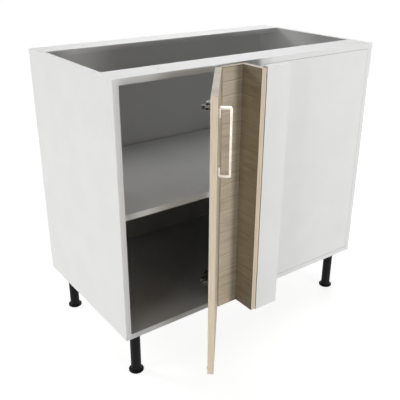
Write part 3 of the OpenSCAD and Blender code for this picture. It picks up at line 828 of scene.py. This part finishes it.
@dataclass(frozen=True)
class Fastener:
    """A turned fastener: a head with a cross recess, then a threaded shank and a cone.

    Radii, widths, depths, pitch and tip are shares of the shank's diameter. The two
    drops are shares of the head's height. The rest are counts.
    """

    head_r: float = 1.0
    crown_r: float = 0.8
    middle_r: float = 0.06
    rim_drop: float = 0.7
    under_drop: float = 0.97
    recess_r: float = 0.58
    recess_w: float = 0.3
    recess_depth: float = 0.42
    # How fast a wall of the recess rises, in depths a half width
    recess_slope: float = 1.5
    core_r: float = 0.37
    point_r: float = 0.1
    pitch: float = 0.42
    tip: float = 1.3
    turns: int = 28
    crown_rings: int = 12
    rim_rings: int = 4
    rings_a_pitch: int = 5
    shank_rings_least: int = 8

    def profile(self, diameter: float, length: float, head: float) -> np.ndarray:
        """Gives the outline from the head's middle to the tip.

        The head's top runs out level to the crown, falls on a quarter round to the
        head's full radius and returns to the shank. The shank runs straight down
        and ends in a cone.

        Args:
            diameter: the shank's diameter in metres.
            length: the whole length in metres.
            head: the head's height in metres.

        Returns:
            Radius and distance below the head's top, n by 2, in metres.
        """
        level = np.linspace(self.middle_r, self.crown_r, self.crown_rings)
        crown = np.stack([level, np.zeros_like(level)], axis=-1) * diameter
        fall = np.linspace(0, math.pi / 2, self.rim_rings + 1)[1:]
        rim_r = (self.crown_r + (self.head_r - self.crown_r) * np.sin(fall)) * diameter
        rim = np.stack([rim_r, self.rim_drop * head * (1 - np.cos(fall))], axis=-1)
        under = np.array([[self.head_r * diameter, self.under_drop * head], [diameter / 2, head]])
        rings = int((length - head) / (self.pitch * diameter) * self.rings_a_pitch)
        down = np.linspace(head, length, max(rings, self.shank_rings_least))[1:-1]
        left = np.clip((length - down) / (self.tip * diameter), 0, 1)
        shank = np.stack([left * diameter / 2, down], axis=-1)
        return np.concatenate([crown, rim, under, shank])

    def surface(self, diameter: float, length: float, head: float) -> tuple[np.ndarray, np.ndarray]:
        """Works out the fastener with its head's top at the origin and its tip at -z.

        Each profile point turns round z. On the head's top the surface sinks where
        it is near one of two crossed arms, most at the middle. On the shank the
        radius swings between core and full size as a triangle wave of height less
        turn, which is a thread, and stays above the point's radius.

        Args:
            diameter: the shank's diameter in metres.
            length: the whole length in metres.
            head: the head's height in metres.

        Returns:
            Points, and faces.
        """
        outline = self.profile(diameter, length, head)
        angle = np.arange(self.turns) * math.tau / self.turns
        radius = np.repeat(outline[:, :1], self.turns, axis=1)
        depth = np.repeat(outline[:, 1:], self.turns, axis=1)
        on_shank = depth > head + NO_LENGTH
        wave = np.abs(((depth / (self.pitch * diameter) - angle / math.tau) % 1) * 2 - 1)
        cut = np.where(on_shank, (0.5 - self.core_r) * diameter * wave, 0)
        radius = np.maximum(radius - cut, self.point_r * diameter * on_shank)
        x = radius * np.cos(angle)
        y = radius * np.sin(angle)
        off_arm = np.minimum(np.abs(x), np.abs(y)) / (self.recess_w * diameter / 2)
        arm = np.clip(1 + self.recess_slope * (1 - off_arm), 0, 1)
        reach = np.clip(1 - radius / (self.recess_r * diameter), 0, 1)
        recess = arm * np.sqrt(reach) * self.recess_depth * diameter
        sunk = np.where(depth < NO_LENGTH, recess, 0)
        points = np.stack([x, y, -depth - sunk], axis=-1).reshape(-1, 3)
        poles = np.array([[0, 0, -self.recess_depth * diameter], [0, 0, -length]])
        return np.concatenate([points, poles]), revolve_faces(len(outline), self.turns)


def turned_to(axis: np.ndarray) -> np.ndarray:
    """Gives the turn that takes -z to an axis.

    Args:
        axis: the direction of length 1 that a fastener points along.

    Returns:
        A 3 by 3 matrix whose columns are the turned x, y and z.
    """
    nearly_upright = 0.9
    up = -axis
    side = np.array([1.0, 0.0, 0.0])
    if abs(up[2]) < nearly_upright:
        side = np.cross([0.0, 0.0, 1.0], up)
    side /= np.linalg.norm(side)
    return np.stack([side, np.cross(up, side), up], axis=-1)


def solids_of(node: str) -> list[np.ndarray]:
    """Parts a node's points into its separate solids.

    Points at one place count as one. Each starts with its own label, and each
    triangle gives its corners the least of their labels until nothing changes.

    Args:
        node: the node's name.

    Returns:
        One array of points for each solid.
    """
    place_decimals = 7
    mesh = frame["nodes"][node].data
    corners = np.empty(len(mesh.loops), np.int32)
    mesh.loops.foreach_get("vertex_index", corners)
    rounded = np.round(node_points(node), place_decimals)
    spots, same = np.unique(rounded, axis=0, return_inverse=True)
    triangles = same.reshape(-1)[corners].reshape(-1, 3)
    label = np.arange(len(spots))
    while True:
        least = label[triangles].min(axis=1)
        new = label.copy()
        for k in range(3):
            np.minimum.at(new, triangles[:, k], least)
        if (new == label).all():
            break
        label = new
    return [spots[label == k].astype(float) for k in np.unique(label)]


def fastener_place(
    points: np.ndarray, axes: list[np.ndarray]
) -> tuple[np.ndarray, np.ndarray, float, float]:
    """Finds how a plain fastener lies.

    It lies along the axis in which it is longest, and points away from its wider
    end.

    Args:
        points: the fastener's points.
        axes: the directions that it may lie along.

    Returns:
        The middle of the head's top, the direction of the tip, the head's radius and
        the length.
    """
    spans = [np.ptp(points @ axis) for axis in axes]
    axis = axes[int(np.argmax(spans))]
    turn = turned_to(axis)
    local = points @ turn
    middle = (local.min(axis=0) + local.max(axis=0)) / 2
    off = np.linalg.norm(local[:, :2] - middle[:2], axis=1)
    above = local[:, 2] > middle[2]
    if off[above].max() < off[~above].max():
        axis = -axis
        turn = turned_to(axis)
        local = points @ turn
        middle = (local.min(axis=0) + local.max(axis=0)) / 2
    head = turn @ np.array([middle[0], middle[1], local[:, 2].max()])
    return head, axis, float(off.max()), float(np.ptp(local[:, 2]))


@dataclass
class ScrewSet:
    """All the screws of one node, each with its cross recess and thread."""

    node: str
    body: str
    axes: list[np.ndarray]
    head_mm: float = 2.0
    kind: Fastener = Fastener()

    def build(self, material: bpy.types.Material) -> bpy.types.Object:
        """Makes the screws as one piece, in place of the plain ones.

        Args:
            material: their plating.

        Returns:
            The piece.
        """
        points, faces, count = [], [], 0
        for solid in solids_of(self.node):
            head, axis, radius, length = fastener_place(solid, self.axes)
            diameter = radius / self.kind.head_r
            local, numbers = self.kind.surface(diameter, length, self.head_mm * MM)
            points.append(head + local @ turned_to(axis).T)
            faces.append(numbers + count)
            count += len(local)
        piece = mesh_piece("turned_" + self.node, np.concatenate(points), np.concatenate(faces))
        paint(piece, material)
        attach(piece, self.body)
        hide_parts(self.node)
        log.info("%s: %d screws", piece.name, len(points))
        return piece


def softened(node: str, body: str, edge_mm: float, strips: int) -> bpy.types.Object:
    """Copies a node with its sharp edges eased.

    The copy's loose triangles are merged and its flat faces joined, and every
    corner gets a round of the given width.

    Args:
        node: the node's name.
        body: the body that it rides on.
        edge_mm: the round's width.
        strips: how many strips the round has.

    Returns:
        The piece that stands for the node.
    """
    same_place_m = 1e-6
    flat_angle = math.radians(0.5)
    crease_angle = math.radians(30)
    shape = bmesh.new()
    shape.from_mesh(frame["nodes"][node].data)
    bmesh.ops.remove_doubles(shape, verts=shape.verts, dist=same_place_m)
    bmesh.ops.dissolve_limit(shape, angle_limit=flat_angle, verts=shape.verts, edges=shape.edges)
    sharp = [e for e in shape.edges if e.is_manifold and e.calc_face_angle() > CORNER_ANGLE]
    bmesh.ops.bevel(
        shape,
        geom=sharp,
        offset=edge_mm * MM,
        segments=strips,
        affect="EDGES",
        profile=0.5,
        clamp_overlap=True,
    )
    bmesh.ops.triangulate(shape, faces=shape.faces)
    mesh = bpy.data.meshes.new("eased_" + node)
    shape.to_mesh(mesh)
    shape.free()
    mesh.polygons.foreach_set("use_smooth", np.full(len(mesh.polygons), True))
    mesh.set_sharp_from_angle(angle=crease_angle)
    piece = new_object("eased_" + node, mesh)
    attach(piece, body)
    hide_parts(node)
    return piece


@dataclass
class Carcass:
    """The white case: sides, bottom, rails, back sheet, blind panel and shelf."""

    banded: tuple[str, ...] = (
        "side_panel_left", "side_panel_right", "bottom_panel", "front_rail", "shelf"
    )
    plain: tuple[str, ...] = ("back_rail", "fixed_front_panel")
    nail_pitch_mm: float = 90.0
    nail_inset_mm: float = 7.0
    nail_r_mm: float = 1.9
    # Driven flush. They stand this little proud so that they show
    nail_rise_mm: float = 0.05
    nail_sink_mm: float = 0.4
    nail_turns: int = 12
    # Each ring's share of the radius. The last ring lies in the sheet
    nail_rings: tuple[float, ...] = (0.35, 0.7, 0.92, 1.0, 1.0)

    def dress(self) -> None:
        """Gives the boards their melamine, the sheet its lacquer and the fittings theirs."""
        for name in self.banded:
            low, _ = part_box(name)
            paint_nodes((name,), Melamine().material(low[1]))
        paint_nodes(self.plain, Melamine().material())
        _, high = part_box("back_sheet")
        paint_nodes(("back_sheet",), Hardboard().material(high[1]))
        paint_nodes(("shelf_pins", "cam_bolts"), ZINC.material())
        paint_nodes(("wood_dowels",), BEECH.material())

    def nail_spots(self) -> np.ndarray:
        """Spaces the nails evenly round the back sheet, near its edges.

        Returns:
            Points on the sheet's outer face, n by 3.
        """
        low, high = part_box("back_sheet")
        inset, pitch = self.nail_inset_mm * MM, self.nail_pitch_mm * MM
        left, right = low[0] + inset, high[0] - inset
        bottom, top = low[2] + inset, high[2] - inset
        across = np.linspace(left, right, round((right - left) / pitch) + 1)
        up = np.linspace(bottom, top, round((top - bottom) / pitch) + 1)[1:-1]
        rows = [(x, z) for z in (bottom, top) for x in across]
        columns = [(x, z) for x in (left, right) for z in up]
        spots = np.array(rows + columns)
        return np.stack([spots[:, 0], np.full(len(spots), high[1]), spots[:, 1]], axis=-1)

    def nails(self, material: bpy.types.Material) -> bpy.types.Object:
        """Makes the nail heads on the back sheet.

        Each is a low dome: at a share s of its radius it stands at the rise times
        the square root of 1 less s squared. Its rim goes a little into the sheet.

        Args:
            material: their plating.

        Returns:
            The piece.
        """
        share = np.array(self.nail_rings)
        rise = np.sqrt(1 - share**2) * self.nail_rise_mm
        rise[-1] = -self.nail_sink_mm
        angle = np.arange(self.nail_turns) * math.tau / self.nail_turns
        radius = np.outer(share * self.nail_r_mm, np.ones(self.nail_turns))
        height = np.outer(rise, np.ones(self.nail_turns))
        ring = np.stack([radius * np.cos(angle), height, -radius * np.sin(angle)], axis=-1)
        poles = np.array([[0, self.nail_rise_mm, 0], [0, -self.nail_sink_mm, 0]])
        dome = np.concatenate([ring.reshape(-1, 3), poles]) * MM
        numbers = revolve_faces(len(share), self.nail_turns)
        spots = self.nail_spots()
        points = (spots[:, None, :] + dome[None, :, :]).reshape(-1, 3)
        steps = np.arange(len(spots))[:, None, None] * len(dome)
        faces = (numbers[None, :, :] + steps).reshape(-1, 4)
        piece = mesh_piece("back_sheet_nails", points, faces)
        paint(piece, material)
        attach(piece, "carcass")
        log.info("%s: %d nails", piece.name, len(spots))
        return piece


@dataclass
class CornerPost:
    """The wood filler and its return, the post board, spacers and brackets."""

    # Each wood front, and how far it is turned about z from facing forwards
    fronts: tuple[tuple[str, float], ...] = (
        ("corner_filler", 0.0), ("corner_return", -math.pi / 2)
    )

    def dress(self) -> None:
        """Gives the fronts their oak, the post its melamine and the rest theirs."""
        for name, turn in self.fronts:
            paint_nodes((name,), OakDecor().material(name, turn))
        paint_nodes(("corner_post_board",), Melamine().material())
        paint_nodes(("filler_spacers",), SOFT_PAD.material())
        paint_nodes(("corner_brackets",), Spangle().material())


@dataclass
class Door:
    """The oak door with its bow handle and buffers."""

    joint: str = "door_swing"
    handle_edge_mm: float = 0.7
    handle_strips: int = 3

    def turn(self) -> float:
        """Gives the angle that the door stands open at, from its joint's lower limit."""
        joint = next(j for j in frame["joints"] if j["name"] == self.joint)
        return math.radians(-joint["range_deg"][0])

    def normal(self) -> np.ndarray:
        """Gives the direction that the open door's outer face looks in."""
        return np.array([math.sin(self.turn()), -math.cos(self.turn()), 0.0])

    def dress(self) -> None:
        """Gives the door its oak and makes the handle's eased bar."""
        paint_nodes(("door",), OakDecor().material("door", self.turn()))
        paint_nodes(("door_buffers",), SOFT_PAD.material())
        handle = softened("handle", "door", self.handle_edge_mm, self.handle_strips)
        paint(handle, SATIN.material())
        log.info("%s: eased by %.1f mm", handle.name, self.handle_edge_mm)


@dataclass
class Hinges:
    """Two blind-corner hinges: plates, arms, links and cups."""

    pressed: tuple[str, ...] = (
        "hinge_plates",
        "hinge_arms",
        "hinge_main_links",
        "hinge_arm_struts",
        "hinge_cross_links",
        "hinge_cup_struts",
        "hinge_cups",
    )
    turned: tuple[str, ...] = ("hinge_arm_pins", "hinge_cup_pins", "hinge_arm_screws")

    def dress(self) -> None:
        """Gives the pressed parts nickel, darkened as painted shade, and the pins and arm screws zinc.
        """
        paint_nodes(self.pressed, NICKEL_DARKENED_AS_SHADE.material())
        paint_nodes(self.turned, ZINC.material())


@dataclass
class Legs:
    """Four black legs: sockets, tubes and screwed feet."""

    parts: tuple[str, ...] = (
        "leg_sockets",
        "leg_tubes",
        "foot_front_left",
        "foot_front_right",
        "foot_back_left",
        "foot_back_right",
    )

    def dress(self) -> None:
        """Gives every leg part its black plastic."""
        paint_nodes(self.parts, BLACK_PLASTIC.material())


@dataclass
class Fastenings:
    """Every screw and cam that the frame leaves plain."""

    door_normal: np.ndarray
    level: tuple[str, ...] = (
        "filler_screws", "return_screws", "bracket_screws", "hinge_plate_screws"
    )
    upright: tuple[str, ...] = ("leg_screws",)
    in_door: tuple[str, ...] = ("hinge_cup_screws", "handle_screws")

    def build(self) -> None:
        """Makes each set of screws, and dresses the cams."""
        zinc = ZINC.material()
        x, y, z = np.eye(3)
        for nodes, body, axes in (
            (self.level, "carcass", [x, y]),
            (self.upright, "carcass", [z]),
            (self.in_door, "door", [self.door_normal]),
        ):
            for node in nodes:
                ScrewSet(node, body, axes).build(zinc)
        paint_nodes(("cam_locks",), zinc)


class LampSide(Enum):
    """The studio's lamps, each by the side that it stands on or what it is for."""

    LEFT = "left"
    FRONT_LEFT = "front_left"
    FRONT = "front"
    KEY = "key"
    FRONT_RIGHT = "front_right"
    REAR_RIGHT = "rear_right"
    TOP = "top"
    REAR_LEFT = "rear_left"
    SHEEN = "sheen"


@dataclass(frozen=True)
class PanelLamp:
    """A wide panel that stands level with the cabinet.

    A low one ends below the cabinet's top, so nothing of it falls in between the
    rails. A tall one ends just above it, and reaches only the back rail's edge.
    Azimuth 0 stands in front of the cabinet, and 90 at its right. Its light bounces
    from board to board only once, so the lower compartment stays dark.
    """

    side: LampSide
    azimuth: float
    distance_m: float
    watts: float
    width_m: float
    height_m: float = 0.7
    middle_m: float = 0.45
    bounces: int = 1

    def build(self) -> bpy.types.Object:
        """Makes the lamp, so that it faces the cabinet's upright axis.

        Returns:
            The lamp.
        """
        data = bpy.data.lights.new("lamp_" + self.side.value, "AREA")
        data.shape = "RECTANGLE"
        data.size = self.width_m
        data.size_y = self.height_m
        data.energy = self.watts
        data.cycles.max_bounces = self.bounces
        lamp = new_object(data.name, data)
        turn = math.radians(self.azimuth)
        across, back = math.sin(turn), -math.cos(turn)
        lamp.location = (self.distance_m * across, self.distance_m * back, self.middle_m)
        lamp.rotation_euler = (math.pi / 2, 0, turn)
        log.info("%s at %g", data.name, self.azimuth)
        return lamp


@dataclass(frozen=True)
class SunLamp:
    """A broad lamp so far away that its light is even."""

    side: LampSide
    azimuth: float
    elevation: float
    strength: float
    spread: float

    def build(self) -> bpy.types.Object:
        """Makes the lamp, so that it shines from its place to the origin.

        Returns:
            The lamp.
        """
        data = bpy.data.lights.new("lamp_" + self.side.value, "SUN")
        data.energy = self.strength
        data.angle = math.radians(self.spread)
        lamp = new_object(data.name, data)
        lamp.rotation_euler = (math.radians(90 - self.elevation), 0, math.radians(self.azimuth))
        log.info("%s at %g, %g", data.name, self.azimuth, self.elevation)
        return lamp


@dataclass
class Studio:
    """A pale floor, a white surround and soft lamps.

    The panels light the upright faces and leave the inside dark. The sun overhead
    lights the shelf and the rails through the open top. The other two stand low
    behind the cabinet, and the rails reflect the right one to the camera as sheen.
    """

    floor_m: float = 60.0
    floor_glow: float = 0.83
    floor_seen: str = "#B4B4B2"
    floor_bounce: str = "#4C4C4B"
    surround: str = "#FFFFFF"
    surround_seen: float = 1.0
    surround_light: float = 0.01
    # A panel: azimuth, distance, watts and width, and a tall one's height and middle.
    # A sun: azimuth, elevation, strength and spread
    lamps: tuple[PanelLamp | SunLamp, ...] = (
        PanelLamp(LampSide.LEFT, -102, 3.5, 42, 1.6),
        PanelLamp(LampSide.FRONT_LEFT, -65, 5.0, 68, 1.2),
        PanelLamp(LampSide.FRONT, -10, 5.0, 51, 1.2),
        PanelLamp(LampSide.KEY, 17, 5.0, 114, 1.2, 0.95, 0.6),
        PanelLamp(LampSide.FRONT_RIGHT, 40, 5.0, 22, 1.2),
        PanelLamp(LampSide.REAR_RIGHT, 120, 4.0, 60, 1.6),
        SunLamp(LampSide.TOP, 180, 85, 0.5, 40),
        SunLamp(LampSide.REAR_LEFT, -150, 25, 0.95, 20),
        SunLamp(LampSide.SHEEN, 144, 24, 0.8, 40),
    )

    def build(self) -> None:
        """Makes the floor, the world and the lamps."""
        self.floor()
        self.world()
        for lamp in self.lamps:
            lamp.build()

    @staticmethod
    def seen_by_eye(tree: bpy.types.NodeTree) -> bpy.types.NodeSocket:
        """Tells rays from the eye, by way of gloss or glass too, from all others.

        Args:
            tree: the node tree.

        Returns:
            A value that is 1 for the eye's rays and 0 for others.
        """
        path = add_node(tree, "ShaderNodeLightPath")
        seen = path.outputs["Is Camera Ray"]
        for way in ("Is Glossy Ray", "Is Transmission Ray"):
            seen = add_node(
                tree, "ShaderNodeMath", {"operation": "MAXIMUM"}, {0: seen, 1: path.outputs[way]}
            ).outputs[0]
        return seen

    def floor(self) -> bpy.types.Object:
        """Makes the floor, which looks white and keeps the cabinet's shadow.

        What the eye sees is a glow with a grey painted floor added, so a shadow
        only takes the paint's share. Other rays meet a dark grey, so that little
        light comes up under the cabinet.

        Returns:
            The floor.
        """
        half = self.floor_m / 2
        corners = np.array([[-half, -half, 0], [half, -half, 0], [half, half, 0], [-half, half, 0]])
        floor = mesh_piece("studio_floor", corners, np.array([[0, 1, 2, 3]]), smooth=False)
        material = bpy.data.materials.new("studio_floor")
        material.use_nodes = True
        tree = material.node_tree
        tree.nodes.clear()
        glow = add_node(tree, "ShaderNodeEmission", {"Strength": self.floor_glow})
        paint_seen = add_node(tree, "ShaderNodeBsdfDiffuse", {"Color": linear(self.floor_seen)})
        both = add_node(
            tree, "ShaderNodeAddShader", None, {0: glow.outputs[0], 1: paint_seen.outputs[0]}
        )
        other = add_node(tree, "ShaderNodeBsdfDiffuse", {"Color": linear(self.floor_bounce)})
        mixed = add_node(
            tree,
            "ShaderNodeMixShader",
            None,
            {0: self.seen_by_eye(tree), 1: other.outputs[0], 2: both.outputs[0]},
        )
        add_node(tree, "ShaderNodeOutputMaterial", None, {"Surface": mixed.outputs[0]})
        paint(floor, material)
        return floor

    def world(self) -> None:
        """Makes a surround that looks white and lights the object dimly."""
        world = bpy.data.worlds.new("studio")
        world.use_nodes = True
        tree = world.node_tree
        strength = add_node(
            tree,
            "ShaderNodeMapRange",
            {"To Min": self.surround_light, "To Max": self.surround_seen},
            {"Value": self.seen_by_eye(tree)},
        )
        background = tree.nodes["Background"]
        background.inputs["Color"].default_value = linear(self.surround)
        tree.links.new(strength.outputs["Result"], background.inputs["Strength"])
        bpy.context.scene.world = world


@dataclass(frozen=True)
class PhotoCamera:
    """The photograph's camera, worked out from eight corners of the case."""

    place: tuple[float, float, float] = (-1.06588, -1.30675, 1.16086)
    yaw: float = 36.18
    pitch: float = 23.99
    roll: float = 0.27
    lens_mm: float = 52.96
    sensor_mm: float = 36.0

    def build(self) -> bpy.types.Object:
        """Makes the camera and gives it to the scene.

        It looks along +y, pitches down, turns to the right by its yaw, and rolls
        about its own line of sight.

        Returns:
            The camera.
        """
        data = bpy.data.cameras.new("photo_camera")
        data.lens = self.lens_mm
        data.sensor_width = self.sensor_mm
        data.sensor_fit = "HORIZONTAL"
        camera = new_object("photo_camera", data)
        camera.matrix_world = (
            Matrix.Translation(self.place)
            @ Matrix.Rotation(math.radians(-self.yaw), 4, "Z")
            @ Matrix.Rotation(math.radians(90 - self.pitch), 4, "X")
            @ Matrix.Rotation(math.radians(self.roll), 4, "Z")
        )
        bpy.context.scene.camera = camera
        return camera


def main() -> None:
    """Builds and dresses the cabinet, sub-assembly by sub-assembly."""
    logging.basicConfig(level=logging.INFO, format="%(name)s: %(message)s")
    PhotoCamera().build()
    Studio().build()
    bpy.context.scene.view_settings.view_transform = "Standard"
    carcass = Carcass()
    carcass.dress()
    carcass.nails(ZINC.material())
    CornerPost().dress()
    door = Door()
    door.dress()
    Hinges().dress()
    Legs().dress()
    Fastenings(door.normal()).build()


if __name__ == "__main__":
    main()
